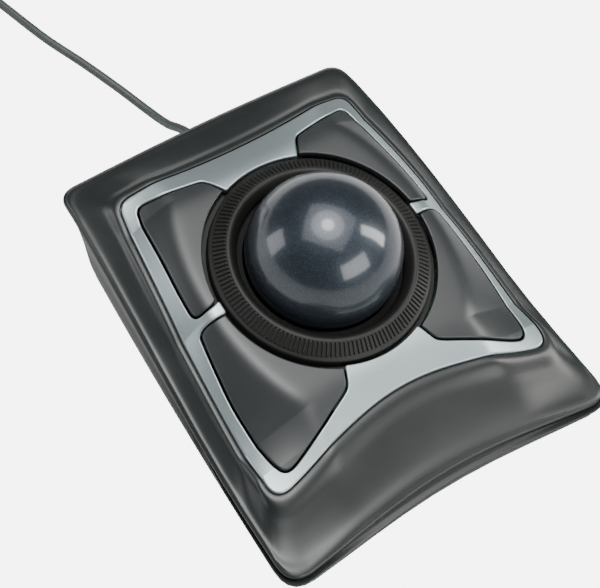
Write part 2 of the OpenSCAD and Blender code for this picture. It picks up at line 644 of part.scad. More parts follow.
base_plate();
upper_shell();
bezel();
button_frame();
back_button(-1);  // button_back_left
back_button(1);  // button_back_right
front_button(-1);  // button_front_left
front_button(1);  // button_front_right
plunger(-1, 1);  // plunger_back_left
plunger(1, 1);  // plunger_back_right
plunger(-1, -1);  // plunger_front_left
plunger(1, -1);  // plunger_front_right
switch_bodies();
scroll_ring();
ball();
ball_cup();
support_balls();
sensor_window();
sensor_chip();
sensor_board();
main_board();
ring_sensor();
board_connector();
rubber_feet();
base_screws();
board_screws();
inner_cord();
strain_relief();
cord_run();
cord_coil();
coil_tie();
cord_tail();
usb_overmould();
usb_shell();
usb_insulator();
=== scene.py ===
"""Looks of a large desktop trackball: shell, silver frame, buttons, scroll ring, ball and cord.

Lengths inside the functions are millimetres; +X is the user's right, +Y points away from the
user and +Z is up. Points given in plan are measured from the ring's centre.
"""

import json
import math

import bpy
import numpy as np
from bpy.props import FloatProperty, FloatVectorProperty, IntProperty, PointerProperty
from mathutils import Matrix, Vector
from mathutils.geometry import delaunay_2d_cdt


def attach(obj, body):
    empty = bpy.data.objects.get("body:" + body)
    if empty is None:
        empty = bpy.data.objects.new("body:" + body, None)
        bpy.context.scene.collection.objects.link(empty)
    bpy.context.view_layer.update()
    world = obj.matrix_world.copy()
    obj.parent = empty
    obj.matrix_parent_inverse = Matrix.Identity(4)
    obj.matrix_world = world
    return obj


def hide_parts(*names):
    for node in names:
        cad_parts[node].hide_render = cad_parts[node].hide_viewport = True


bl_info = {
    "name": "Desktop trackball",
    "version": (1, 0, 0),
    "blender": (4, 5, 0),
    "location": "3D View > Sidebar > Trackball",
    "description": "Builds the detailed surfaces of a four-button trackball round its frame",
    "category": "Object",
}

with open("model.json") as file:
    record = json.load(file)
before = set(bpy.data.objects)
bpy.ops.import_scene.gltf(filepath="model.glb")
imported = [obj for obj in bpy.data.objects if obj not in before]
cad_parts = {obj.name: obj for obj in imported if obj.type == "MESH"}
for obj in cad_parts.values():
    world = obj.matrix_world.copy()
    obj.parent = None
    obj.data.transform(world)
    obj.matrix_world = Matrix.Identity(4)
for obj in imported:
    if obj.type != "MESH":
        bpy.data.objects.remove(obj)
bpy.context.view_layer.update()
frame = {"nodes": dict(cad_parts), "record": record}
MM = 0.001

# ---- sizes of the body

TILT = math.radians(7)
BALL_Y = 7.5
BALL_Z = 37.5
BALL_RISE = 4.85
RING_Z = BALL_Z - BALL_RISE * math.cos(TILT)
HOLE_R = 40.4
PLATE_T = 2.2
BUTTON_GAP = 0.7
HINGE_X = 47.0
SHELL_WALL = 2.2
FRAME_GAP = 0.35
SCOOP_START, SCOOP_BLEND = 38, 20
FOOT_Z = 2.9
EXIT_Y = 60.5
EXIT_Z = 9.5

# how the top falls away: slopes, where they start and how round their creases are
END_SLOPE, END_SPREAD, END_START, END_CREASE = 0.46, 60, 0.6, 2.2
SIDE_SLOPE, SIDE_SLOPE_LOSS, SIDE_SLOPE_LEAST, SIDE_CREASE = 1.12, 0.0125, 0.45, 1.4
CREASE_ARC, CREASE_ARC_END, CREASE_ARC_X, CREASE_LEAST = 90.0, 80, 44, 35

# how the rim lifts at the middle of its two ends
FRONT_LIFT, BACK_LIFT, LIFT_HALF, LIFT_SHAPE = 2.5, 4.0, 62, 1.2
LIFT_START, LIFT_LENGTH = 55, 14

# height of the rim along the sides, front to back
RIM_HEIGHTS = np.array([
    (-90, 6.5), (-60, 7), (-45, 7.7), (-30, 9.6), (-16, 12.4), (0, 15.4), (17, 18.4),
    (33, 20.7), (47, 22.2), (63, 23), (75, 22)])


def soft(t, width):
    """A ramp that starts at zero with a rounded corner."""
    return width * np.logaddexp(0, t / width)


def crease_x(y):
    """How far from the centre line the top starts to fall away to the sides."""
    arc_y = np.minimum(np.abs(y), CREASE_ARC_END)
    return np.maximum(np.sqrt(CREASE_ARC ** 2 - arc_y ** 2) - CREASE_ARC_X, CREASE_LEAST)


def top_z(x, y):
    """Height of the top surface over a point in plan."""
    end = (END_SLOPE * np.maximum(1 - (x / END_SPREAD) ** 2, 0)
           * soft(np.abs(y) - HOLE_R - END_START, END_CREASE))
    slope = np.maximum(SIDE_SLOPE - SIDE_SLOPE_LOSS * np.abs(y), SIDE_SLOPE_LEAST)
    side = slope * soft(np.abs(x) - crease_x(y), SIDE_CREASE)
    return RING_Z + y * math.tan(TILT) - end - side


def rim_z(x, y):
    """Height of the flared rim, which lifts a little at the middle of the front and back."""
    middle = np.maximum(1 - (x / LIFT_HALF) ** 2, 0) ** LIFT_SHAPE
    lift = np.where(y < 0, FRONT_LIFT, BACK_LIFT) * middle
    near_end = np.clip((np.abs(y) - LIFT_START) / LIFT_LENGTH, 0, 1)
    return np.interp(y, RIM_HEIGHTS[:, 0], RIM_HEIGHTS[:, 1]) + lift * near_end


# ---- outlines in plan

def bowed(a, b, bow, count, start, stop):
    """Points along a side from a to b that bows outward."""
    t = np.linspace(start, stop, count)[:, None]
    along = np.array(b, float) - a
    inward = np.array([along[1], -along[0]]) / np.hypot(*along)
    return np.array(a) + along * t - inward * bow * 4 * t * (1 - t)


def hollowed(a, b, depth, count, start, stop):
    """Points along a front edge that curves in at its middle."""
    t = np.linspace(start, stop, count)
    dip = depth * np.cos(math.pi * (t - 0.5) * 0.93) ** 1.7
    return np.column_stack([a[0] + (b[0] - a[0]) * t, a[1] + (b[1] - a[1]) * t + dip])


def corner(p, c, q, count):
    """The points between p and q on a quadratic curve that turns round c."""
    t = (np.arange(count) + 1)[:, None] / (count + 1)
    p, c, q = (np.asarray(v, float) for v in (p, c, q))
    return (1 - t) ** 2 * p + 2 * t * (1 - t) * c + t * t * q


def outline(back, front, side_bow, hollow, back_bow, back_round, front_round):
    """A closed outline, clockwise from the back right, from its back and front corners."""
    side_n, corner_n = 56, 20
    br, fr = np.array(back, float), np.array(front, float)
    fl, bl = fr * (-1, 1), br * (-1, 1)
    length = np.hypot(*(br - fr))
    right = bowed(br, fr, side_bow, side_n, back_round / length, 1 - front_round / length)
    share = front_round / (2 * fr[0])
    edge = hollowed(fr, fl, hollow, side_n, share, 1 - share)
    left = right[::-1] * (-1, 1)
    share = back_round / (2 * br[0])
    rear = bowed(bl, br, back_bow, side_n, share, 1 - share)
    return np.vstack([
        right, corner(right[-1], fr, edge[0], corner_n),
        edge, corner(edge[-1], fl, left[0], corner_n),
        left, corner(left[-1], bl, rear[0], corner_n),
        rear, corner(rear[-1], br, right[0], corner_n)])


def outward(loop):
    """Unit normals of a closed clockwise loop, pointing out of it."""
    tangent = np.roll(loop, -1, axis=0) - np.roll(loop, 1, axis=0)
    normal = np.column_stack([-tangent[:, 1], tangent[:, 0]])
    return normal / np.maximum(np.linalg.norm(normal, axis=1), 1e-9)[:, None]


def moved(loop, distance):
    """The loop moved outward by a distance."""
    return loop + outward(loop) * distance


def unfolded(loop, shifted, distance):
    """The shifted loop without the small folds that a tight corner leaves in it."""
    gap = np.hypot(*(shifted[:, None] - loop).transpose(2, 0, 1)).min(1)
    clear_share = 0.98
    good = gap > distance * clear_share
    if good.all():
        return shifted
    at, n = np.flatnonzero(good), len(loop)
    places = np.concatenate([at - n, at, at + n])
    return np.column_stack([
        np.interp(np.arange(n), places, np.tile(shifted[at, k], 3)) for k in (0, 1)])


def resampled(loop, step):
    """The closed loop with points an even step apart."""
    closed = np.vstack([loop, loop[:1]])
    reach = np.concatenate([[0], np.cumsum(np.linalg.norm(np.diff(closed, axis=0), axis=1))])
    at = np.linspace(0, reach[-1], max(int(reach[-1] / step), 12), endpoint=False)
    return np.column_stack([np.interp(at, reach, closed[:, k]) for k in range(closed.shape[1])])


def rounded(loop, radius, step=0.45):
    """The loop with its corners softened over about a radius."""
    even = resampled(loop, step)
    span = int(3 * radius / step)
    weight = np.exp(-0.5 * (np.arange(-span, span + 1) * step / radius) ** 2)
    weight /= weight.sum()
    return sum(w * np.roll(even, -k, axis=0) for k, w in zip(range(-span, span + 1), weight))


def spline(points, per_span=8):
    """An open smooth chain through points of any dimension."""
    p = np.asarray(points, float)
    p = np.vstack([2 * p[0] - p[1], p, 2 * p[-1] - p[-2]])
    t = np.linspace(0, 1, per_span, endpoint=False)[:, None]
    spans = [0.5 * (2 * b + (c - a) * t + (2 * a - 5 * b + 4 * c - d) * t ** 2
                    + (3 * b - a - 3 * c + d) * t ** 3)
             for a, b, c, d in zip(p, p[1:], p[2:], p[3:])]
    return np.vstack(spans + [p[-2:-1]])


def arc(radius, start, stop, count=40):
    """Points of an arc about the ring's centre, from one angle in degrees to another."""
    angle = np.radians(np.linspace(start, stop, count))
    return radius * np.column_stack([np.cos(angle), np.sin(angle)])


BEZEL_BACK = (48.5, 55.0)
BEZEL_FRONT = (59.0, -62.6)
BEZEL_LINE = outline(BEZEL_BACK, BEZEL_FRONT, 2.4, 11, -2.2, 5, 7)
RIM_LINE = outline((61, 74.5), (69.7, -88.2), 1, 6.4, -1, 7, 10)
FOOT_LINE = outline((59.5, 56.5), (70.4, -89.8), 1.2, 5, 0, 8, 11)

# the free sides of the right hand buttons, from one end of the ring side to the other
BACK_SIDES = [
    (43.5, 2.3), (47.5, 2.1), (49.3, 2.7), (50.2, 4.4), (50.3, 7), (49.6, 16), (48, 29),
    (46.6, 41), (45.5, 46), (44.9, 48), (43.3, 49.3), (41, 49.1), (36.5, 48), (28.3, 46.9),
    (22.6, 46.1), (20.2, 45.4), (18.2, 43)]
FRONT_SIDES = [
    (17.4, -41.9), (18.6, -44), (21, -45.6), (27, -48.3), (33, -51.1), (39, -53.5),
    (45.2, -55.8), (48.5, -56.7), (50.4, -56.7), (52, -55.8), (53, -54), (53.8, -50),
    (54.3, -41), (54.3, -28), (53.2, -16), (51.8, -5), (51.1, -2.4), (48.9, -1.5), (46, -1.7)]

# the ring side of the buttons, in degrees, and how much wider than the hole their places are
BACK_ARC = (4.5, 68.0)
FRONT_ARC = (-67.5, -2.5)
RING_CLEAR = 0.4
AREA_CORNER, HOLE_CORNER = 0.8, 0.55


def button_area(end):
    """The plan of a left hand button's place in the silver frame, clockwise."""
    span, sides = (BACK_ARC, BACK_SIDES) if end == "back" else (FRONT_ARC, FRONT_SIDES)
    loop = np.vstack([arc(HOLE_R + RING_CLEAR, *span), spline(sides)[::-1]])
    return rounded((loop * (-1, 1))[::-1], AREA_CORNER)


def frame_hole():
    """The one opening of the silver frame: the ring's circle joined to the four button places."""
    right = np.vstack([
        arc(HOLE_R, -90, FRONT_ARC[0]), spline(FRONT_SIDES),
        arc(HOLE_R, FRONT_ARC[1], BACK_ARC[0], 12), spline(BACK_SIDES),
        arc(HOLE_R, BACK_ARC[1], 90)])
    return rounded(np.vstack([right, right[::-1] * (-1, 1)])[::-1], HOLE_CORNER)


# ---- meshes

class Solid:
    """Points, faces and point normals collected into one mesh."""

    def __init__(self):
        self.points, self.faces, self.normals, self.count = [], [], [], 0

    def add(self, points, faces, normals=None):
        points = np.asarray(points, float)
        if normals is None:
            normals = np.zeros_like(points)
        self.points.append(points)
        self.normals.append(np.asarray(normals, float))
        self.faces += [tuple(int(k) + self.count for k in face) for face in faces]
        self.count += len(points)

    def grid(self, rows, closed_rows=False, normals=None, flip=False):
        """Rows of equal, closed rings, joined to each other in order."""
        rows = np.asarray(rows, float)
        m, n = rows.shape[:2]
        faces = []
        for j in range(m if closed_rows else m - 1):
            a, b = j * n, (j + 1) % m * n
            faces += [(a + i, a + (i + 1) % n, b + (i + 1) % n, b + i) for i in range(n)]
        if flip:
            faces = [face[::-1] for face in faces]
        if normals is not None:
            normals = np.reshape(normals, (-1, 3))
        self.add(rows.reshape(-1, 3), faces, normals)

    def block(self, low, high, place):
        """A box between two corners of the tilted frame or the row frame."""
        (x0, y0, z0), (x1, y1, z1) = np.minimum(low, high), np.maximum(low, high)
        points = [(x, y, z) for z in (z0, z1) for y in (y0, y1) for x in (x0, x1)]
        self.add(place(np.array(points)), [
            (0, 2, 3, 1), (4, 5, 7, 6), (0, 1, 5, 4), (2, 6, 7, 3), (0, 4, 6, 2), (1, 3, 7, 5)])

    def rod(self, start, stop, radius, place, sides=32, chamfer=0.2):
        """A round rod with chamfered ends from one point to another."""
        start, stop = np.array(start, float), np.array(stop, float)
        along = (stop - start) / np.linalg.norm(stop - start)
        across = np.cross(along, (0.3, 0.5, 0.8))
        across /= np.linalg.norm(across)
        other = np.cross(along, across)
        angle = np.linspace(0, 2 * math.pi, sides, endpoint=False)[:, None]
        circle = np.cos(angle) * across + np.sin(angle) * other
        rows = [start + circle * (radius - chamfer), start + along * chamfer + circle * radius,
                stop - along * chamfer + circle * radius, stop + circle * (radius - chamfer)]
        base = self.count
        self.grid([place(row) for row in rows])
        self.caps(base, sides, len(rows))

    def caps(self, base, sides, rows, flip=False):
        """The two end faces of a tube whose first point is numbered base."""
        last = base + (rows - 1) * sides
        first, final = tuple(range(base, base + sides)), tuple(range(last, last + sides))
        self.faces += [first, final[::-1]] if flip else [first[::-1], final]

    def sided(self, side):
        """A copy of a left hand solid, or its mirror image for the right hand side."""
        flip = (-side, 1, 1)
        copy = Solid()
        copy.add(np.vstack(self.points) * flip, [face[::-side] for face in self.faces],
                 np.vstack(self.normals) * flip)
        return copy

    def welded(self):
        """The points, their normals and the faces, with points that fall together made one."""
        points, normals = np.vstack(self.points), np.vstack(self.normals)
        _, first, place = np.unique(
            np.round(points, 4), axis=0, return_index=True, return_inverse=True)
        place = place.ravel()
        summed = np.zeros((len(first), 3))
        np.add.at(summed, place, normals)
        faces = []
        for face in self.faces:
            ring = [int(place[k]) for k in face]
            ring = [k for at, k in enumerate(ring) if k != ring[at - 1]]
            if len(ring) > 2:
                faces.append(ring)
        return points[first], summed, faces

    def build(self, name, body, slot, nodes=(), sharp_angle=None):
        """The finished mesh object, riding on its body in place of its CAD nodes."""
        points, normals, faces = self.welded()
        mesh = bpy.data.meshes.new(name)
        mesh.from_pydata((points * MM).tolist(), [], faces)
        mesh.polygons.foreach_set("use_smooth", np.ones(len(mesh.polygons), bool))
        if sharp_angle is not None:
            mesh.set_sharp_from_angle(angle=math.radians(sharp_angle))
        if np.any(normals):
            size = np.linalg.norm(normals, axis=1)
            normals[size > 0] /= size[size > 0][:, None]
            mesh.normals_split_custom_set_from_vertices(normals.tolist())
        obj = bpy.data.objects.new(name, mesh)
        return settle(obj, body, slot, nodes)


def settle(obj, body, slot, nodes=()):
    """Links an object, gives it its finish and lets it ride on its body."""
    bpy.context.scene.collection.objects.link(obj)
    obj.data.materials.clear()
    obj.data.materials.append(finish(slot))
    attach(obj, body)
    if nodes:
        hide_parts(*nodes)
    return obj


def in_row(points):
    """Points from the ring's centre in plan to the row frame."""
    return np.asarray(points, float) + (0, BALL_Y, 0)


def in_tilt(points):
    """Points of the tilted ring frame to the row frame."""
    p = np.asarray(points, float)
    x, y, z = p[..., 0], p[..., 1], p[..., 2]
    c, s = math.cos(TILT), math.sin(TILT)
    return np.stack([x, BALL_Y + y * c - z * s, RING_Z + y * s + z * c], -1)


def inside(points, loop):
    """Which points lie inside a closed loop."""
    a, b = loop, np.roll(loop, -1, axis=0)
    x, y = points[:, 0][:, None], points[:, 1][:, None]
    crosses = (a[:, 1] > y) != (b[:, 1] > y)
    rise = np.where(b[:, 1] == a[:, 1], 1e-12, b[:, 1] - a[:, 1])
    return (crosses & (x < (b[:, 0] - a[:, 0]) * (y - a[:, 1]) / rise + a[:, 0])).sum(1) % 2 == 1


def surface_normal(height, p):
    """Unit normals of a height over points in plan."""
    x, y, step = p[:, 0], p[:, 1], 0.05
    dx = (height(x + step, y) - height(x - step, y)) / (2 * step)
    dy = (height(x, y + step) - height(x, y - step)) / (2 * step)
    n = np.column_stack([-dx, -dy, np.ones(len(p))])
    return n / np.linalg.norm(n, axis=1)[:, None]


def within(points, loops):
    """Which points lie inside the first loop and outside the others."""
    keep = inside(points, loops[0])
    for hole in loops[1:]:
        keep &= ~inside(points, hole)
    return keep


def filling(outer, loops, spacing):
    """Points in staggered rows that fill a plan, a little clear of its loops."""
    row_share, clear_share, batch = 0.866, 0.55, 2000
    low, high = outer.min(0), outer.max(0)
    x, y = np.meshgrid(np.arange(low[0], high[0], spacing),
                       np.arange(low[1], high[1], spacing * row_share))
    x[1::2] += spacing / 2
    inner = np.column_stack([x.ravel(), y.ravel()])
    inner = inner[within(inner, loops)]
    edges = np.vstack(loops)
    clear = []
    for start in range(0, len(inner), batch):
        part = inner[start:start + batch]
        gap = np.hypot(part[:, :1] - edges[:, 0], part[:, 1:] - edges[:, 1]).min(1)
        clear.append(gap > spacing * clear_share)
    return inner[np.concatenate(clear)]


def plate(solid, outer, holes, height, deep, edge, spacing):
    """A plate that follows a height over the plan, with its edges rounded all round."""
    loops = [(outer, 1)] + [(hole, -1) for hole in holes]
    tops = [unfolded(loop, moved(loop, -way * edge), edge) for loop, way in loops]
    lines, at = [], 0
    for loop in tops:
        n = len(loop)
        lines += [(at + i, at + (i + 1) % n) for i in range(n)]
        at += n
    plan = np.vstack([*tops, filling(outer, tops, spacing)])
    result = delaunay_2d_cdt([Vector(p) for p in plan], lines, [], 0, 1e-6, False)
    # the points given are finer than the ones that come back, unless some were added
    if len(result[0]) != len(plan):
        plan = np.array([tuple(v) for v in result[0]])
    triangles = np.array([face for face in result[2] if len(face) == 3])
    triangles = triangles[within(plan[triangles].mean(1), tops)]

    def up(p):
        return surface_normal(height, p)

    def at_depth(p, depth=0.0):
        return in_row(np.column_stack([p, height(p[:, 0], p[:, 1]) - depth]))

    solid.add(at_depth(plan), triangles, up(plan))
    solid.add(at_depth(plan, deep), triangles[:, ::-1], -up(plan))
    for (loop, way), top in zip(loops, tops):
        facing = np.column_stack([outward(loop) * way, np.zeros(len(loop))])
        rows, normals = [], []
        for turn in map(math.radians, (0, 22.5, 45, 67.5, 90)):
            p = loop + (top - loop) * (1 - math.sin(turn))
            rows.append(at_depth(p, edge * (1 - math.cos(turn))))
            normals.append(up(p) * math.cos(turn) + facing * math.sin(turn))
        rows.append(at_depth(loop, deep))
        normals.append(normals[-1])
        solid.grid(rows, normals=normals, flip=way < 0)
        solid.grid([at_depth(loop, deep), at_depth(top, deep)], flip=way < 0,
                   normals=[-up(loop), -up(top)])


def lofted(controls, steps):
    """Rings from the first control ring up to the last, on smooth curves through them."""
    controls = np.asarray(controls, float)
    span = np.linalg.norm(np.diff(controls, axis=0), axis=2).mean(1)[:, None, None]
    slope = np.diff(controls, axis=0) / span
    between = (slope[:-1] * span[1:] + slope[1:] * span[:-1]) / (span[1:] + span[:-1])
    tangent = np.concatenate([slope[:1], between, slope[-1:]])
    rings = []
    for k, count in enumerate(steps):
        h = span[k]
        for t in np.arange(count) / count:
            rings.append((2 * t ** 3 - 3 * t ** 2 + 1) * controls[k]
                         + (t ** 3 - 2 * t ** 2 + t) * h * tangent[k]
                         + (3 * t ** 2 - 2 * t ** 3) * controls[k + 1]
                         + (t ** 3 - t ** 2) * h * tangent[k + 1])
    return rings


# ---- finishes

class Value:
    """A node's output that takes part in sums, so that shader maths reads as Python."""

    def __init__(self, graph, socket):
        self.graph, self.socket = graph, socket

    def math(self, operation, other):
        return self.graph.node("ShaderNodeMath", {"operation": operation}, {0: self, 1: other})

    def __add__(self, other):
        return self.math("ADD", other)

    def __mul__(self, other):
        return self.math("MULTIPLY", other)

    def over(self, low, high):
        """0 below low, 1 above high and a straight ramp between."""
        return self.graph.node("ShaderNodeMapRange", {"clamp": True}, {
            "Value": self, "From Min": low, "From Max": high}, "Result")

    __radd__ = __add__
    __rmul__ = __mul__


class Graph:
    """The node tree of one material."""

    def __init__(self, name):
        self.material = bpy.data.materials.new(name)
        self.material.use_nodes = True
        self.tree = self.material.node_tree
        self.shader = next(n for n in self.tree.nodes if n.type == "BSDF_PRINCIPLED")

    def node(self, kind, settings=None, inputs=None, output=0):
        made = self.tree.nodes.new(kind)
        for key, value in (settings or {}).items():
            setattr(made, key, value)
        for key, value in (inputs or {}).items():
            self.feed(made.inputs[key], value)
        return Value(self, made.outputs[output])

    def feed(self, socket, value):
        if isinstance(value, Value):
            self.tree.links.new(value.socket, socket)
        else:
            socket.default_value = value

    def place(self, scale=(1, 1, 1)):
        """Object coordinates in metres, stretched."""
        where = self.node("ShaderNodeTexCoord", output="Object")
        return self.node("ShaderNodeVectorMath", {"operation": "MULTIPLY"}, {0: where, 1: scale})

    def noise(self, size, detail=3.0, rough=0.5, scale=(1, 1, 1), distortion=0.0):
        """Soft noise between 0 and 1 whose blotches are about a size in millimetres."""
        return self.node("ShaderNodeTexNoise", {"noise_dimensions": "3D"}, {
            "Vector": self.place(scale), "Scale": 1 / (size * MM), "Detail": detail,
            "Roughness": rough, "Distortion": distortion}, "Fac")

    def cells(self, size):
        """Random greys in cells about a size in millimetres."""
        colour = self.node("ShaderNodeTexVoronoi", {"feature": "F1"}, {
            "Vector": self.place(), "Scale": 1 / (size * MM)}, "Color")
        return self.node("ShaderNodeRGBToBW", {}, {"Color": colour})

    def mix(self, factor, a, b):
        """One colour turning into another."""
        a, b = (c if isinstance(c, Value) else (*c, 1.0) for c in (a, b))
        factor_at, a_at, b_at, result_at = 0, 6, 7, 2
        return self.node("ShaderNodeMix", {"data_type": "RGBA"},
                         {factor_at: factor, a_at: a, b_at: b}, result_at)

    def bump(self, height, strength, depth):
        """A normal raised by a height, over a depth in millimetres."""
        return self.node("ShaderNodeBump", {}, {
            "Strength": strength, "Distance": depth * MM, "Height": height}, "Normal")

    def finish(self, **inputs):
        """The material, with its shader's inputs given by their names."""
        for key, value in inputs.items():
            socket = key.replace("_", " ").title().replace("Ior", "IOR")
            self.feed(self.shader.inputs[socket], value)
        return self.material


def shade(colour, factor):
    """The colour, darker or lighter."""
    return tuple(min(c * factor, 1.0) for c in colour)


def moulded(name, colour, roughness, spread=0.12, grain=0.35, depth=0.02, coat=0.0, specular=0.5):
    """Moulded plastic: faint clouding, a fine spark-eroded grain and a few handling scuffs."""
    g = Graph(name)
    cloud = g.noise(28, 2, 0.55)
    fine = g.noise(grain, 2, 0.6)
    scuff = g.noise(3.2, 4, 0.7, scale=(1, 5, 1), distortion=0.4).over(0.62, 0.78)
    tint = g.mix(cloud.over(0.3, 0.7), shade(colour, 1 - spread), shade(colour, 1 + spread))
    tint = g.mix(fine.over(0.35, 0.7) * 0.3, tint, shade(colour, 1.35))
    return g.finish(
        base_color=tint,
        roughness=cloud * 0.08 + fine * 0.06 + scuff * 0.05 + (roughness - 0.08),
        normal=g.bump(fine + scuff * 0.2, 0.35, depth),
        coat_weight=coat, coat_roughness=0.12, specular_ior_level=specular)


def metallic_paint(name, colour, roughness):
    """Silver paint: small bright flakes under a thin satin coat."""
    g = Graph(name)
    grey = g.cells(0.16)
    cloud = g.noise(30, 2, 0.5)
    tint = g.mix(grey.over(0.55, 1.0) * 0.45, shade(colour, 0.9), shade(colour, 1.28))
    tint = g.mix(cloud.over(0.3, 0.7) * 0.2, tint, shade(colour, 0.86))
    peel = g.noise(1.6, 2, 0.5)
    return g.finish(
        base_color=tint, metallic=grey * 0.2 + 0.75,
        roughness=grey * 0.12 + cloud * 0.06 + (roughness - 0.08),
        normal=g.bump(grey * 0.25 + peel * 0.4, 0.25, 0.012), coat_weight=0.25, coat_roughness=0.25)


def pearl(name, colour, roughness):
    """The ball: dark polished resin full of fine pearl, under a clear deep gloss; its colour
    darkens towards its outline, a painted reflection of the dark ring round it.
    """
    g = Graph(name)
    flake = g.cells(0.3)
    spark = g.cells(0.13)
    cloud = g.noise(14, 3, 0.55, distortion=0.6)
    # painted reflection: the facing weight darkens the colour towards the ball's outline, standing
    # in for the dark ring and funnel mirrored there
    edge = g.node("ShaderNodeLayerWeight", {}, {"Blend": 0.35}, "Facing")
    tint = g.mix(cloud.over(0.25, 0.75), shade(colour, 0.8), shade(colour, 1.2))
    tint = g.mix(flake.over(0.45, 1.0) * 0.35, tint, (0.07, 0.08, 0.12))
    tint = g.mix(spark.over(0.82, 0.95) * 0.3, tint, (0.24, 0.24, 0.32))
    # painted dark reflection towards the ball's outline
    tint = g.mix(edge * 0.5, tint, (0.02, 0.025, 0.035))
    return g.finish(
        base_color=tint, metallic=0.55, roughness=flake * 0.1 + spark * 0.05 + roughness,
        normal=g.bump(flake, 0.08, 0.01), coat_weight=1.0, coat_roughness=0.12, coat_ior=1.45)


def rubber(name, colour, roughness, grain=0.5):
    """Soft vinyl or rubber with a dusty mottle and faint extrusion ripples."""
    g = Graph(name)
    dust = g.noise(6, 4, 0.6)
    fine = g.noise(grain, 3, 0.6)
    tint = g.mix(dust.over(0.35, 0.75) * 0.6, shade(colour, 0.85), shade(colour, 1.35))
    return g.finish(base_color=tint, roughness=dust * 0.12 + fine * 0.08 + (roughness - 0.1),
                    normal=g.bump(fine, 0.3, 0.02))


def brushed(name, colour, roughness):
    """Plated steel with fine drawing lines and a little clouding."""
    g = Graph(name)
    lines = g.noise(0.5, 3, 0.6, scale=(1, 12, 12))
    cloud = g.noise(5, 3, 0.6)
    tint = g.mix(cloud.over(0.3, 0.7) * 0.5, shade(colour, 0.82), shade(colour, 1.08))
    return g.finish(
        base_color=tint, metallic=1.0,
        roughness=lines * 0.15 + cloud * 0.08 + (roughness - 0.1), normal=g.bump(lines, 0.2, 0.01))


def circuit(name, colour, roughness):
    """Lacquered board: solder mask over faint copper fields."""
    g = Graph(name)
    patch = g.cells(4.5).over(0.45, 0.5)
    weave = g.node(
        "ShaderNodeTexWave", {"wave_type": "BANDS", "bands_direction": "DIAGONAL"},
        {"Vector": g.place(), "Scale": 260.0, "Distortion": 1.5}, "Fac")
    tint = g.mix(patch * 0.5, shade(colour, 0.75), shade(colour, 1.35))
    return g.finish(
        base_color=tint, roughness=weave * 0.12 + patch * 0.08 + roughness,
        normal=g.bump(patch * 0.6 + weave * 0.2, 0.3, 0.03), coat_weight=0.4, coat_roughness=0.15)


def glassy(name, colour, roughness):
    """Tinted clear plastic."""
    g = Graph(name)
    haze = g.noise(2, 3, 0.6)
    tint = g.mix(haze.over(0.3, 0.7), shade(colour, 0.8), shade(colour, 1.15))
    return g.finish(base_color=tint, roughness=haze * 0.08 + roughness,
                    normal=g.bump(haze, 0.05, 0.01), transmission_weight=0.6)


def linear(value):
    """A screen colour channel as the shader's linear value."""
    return value / 12.92 if value <= 0.04045 else ((value + 0.055) / 1.055) ** 2.4


def screen(text):
    """A colour written as six hexadecimal digits."""
    return tuple(linear(int(text[k:k + 2], 16) / 255) for k in (0, 2, 4))


def finish(slot):
    """The material of a slot of the record, made once."""
    name = "finish_" + slot
    if name in bpy.data.materials:
        return bpy.data.materials[name]
    colours = bpy.context.scene.trackball_colours
    maker, colour, roughness, settings = {
        "shell_plastic": (moulded, colours.shell, 0.35, {"depth": 0.014}),
        "base_plastic": (moulded, "303536", 0.5, {"grain": 0.6, "depth": 0.04}),
        "bezel_paint": (metallic_paint, colours.bezel, 0.4, {}),
        "button_plastic": (moulded, colours.button, 0.36, {"depth": 0.012}),
        "inner_plastic": (moulded, "2b2e2f", 0.55, {}),
        "plunger_plastic": (moulded, "b8452f", 0.3, {}),
        "ring_plastic": (moulded, colours.ring, 0.5, {"depth": 0.01, "specular": 0.3}),
        "ball_gloss": (pearl, colours.ball, 0.3, {}),
        "cup_plastic": (moulded, "101112", 0.7, {"specular": 0.2}),
        "bearing_ceramic": (moulded, "e8e4dc", 0.15, {"spread": 0.04, "coat": 0.6}),
        "window_glass": (glassy, "a8463c", 0.08, {}),
        "chip_plastic": (moulded, "1d1f20", 0.45, {"grain": 0.2}),
        "board_green": (circuit, "2f6b46", 0.3, {}),
        "light_plastic": (moulded, "e6e2d6", 0.4, {"spread": 0.05}),
        "feet_rubber": (rubber, "1c1c1c", 0.75, {}),
        "screw_steel": (brushed, "b9bcbd", 0.28, {}),
        "cord_rubber": (rubber, colours.cord, 0.42, {"grain": 0.8}),
        "tie_rubber": (rubber, "202324", 0.6, {}),
        "plug_plastic": (moulded, "33393a", 0.4, {}),
        "plug_steel": (brushed, "c3c6c7", 0.22, {}),
    }[slot]
    if isinstance(colour, str):
        colour = screen(colour)
    return maker(name, colour, roughness, **settings)


# ---- values a user may change

def colour_property(label, words, text):
    return FloatVectorProperty(name=label, description=words, subtype="COLOR", size=3,
                               min=0, max=1, default=screen(text))


class TrackballColours(bpy.types.PropertyGroup):
    """Colours of the visible pieces."""

    shell: colour_property("Shell", "Colour of the dark outer shell", "1c2020")
    bezel: colour_property("Frame", "Colour of the silver frame round the buttons", "a7b4b7")
    button: colour_property("Buttons", "Colour of the four buttons", "292c2d")
    ring: colour_property("Ring", "Colour of the scroll ring", "181917")
    ball: colour_property("Ball", "Base colour of the ball", "232d34")
    cord: colour_property("Cord", "Colour of the cord", "3a4040")


def length_property(label, words, metres):
    return FloatProperty(name=label, description=words, default=metres, min=0,
                         subtype="DISTANCE", unit="LENGTH")


class TrackballSizes(bpy.types.PropertyGroup):
    """Sizes of the details that the frame leaves open."""

    bezel_edge: length_property("Frame edge", "Radius of the silver frame's edges", 0.0007)
    button_edge: length_property("Button edge", "Radius of the buttons' edges", 0.0005)
    rib_count: IntProperty(name="Ribs", description="Number of ribs round the scroll ring",
                           default=144, min=24)
    rib_height: length_property("Rib height", "How far the ribs stand out of the ring", 0.0006)
    ball_diameter: length_property("Ball", "Diameter of the ball", 0.055)
    cord_diameter: length_property("Cord", "Diameter of the cord", 0.0034)


def angle_property(label, words, degrees):
    return FloatProperty(name=label, description=words, default=math.radians(degrees),
                         subtype="ANGLE", unit="ROTATION")


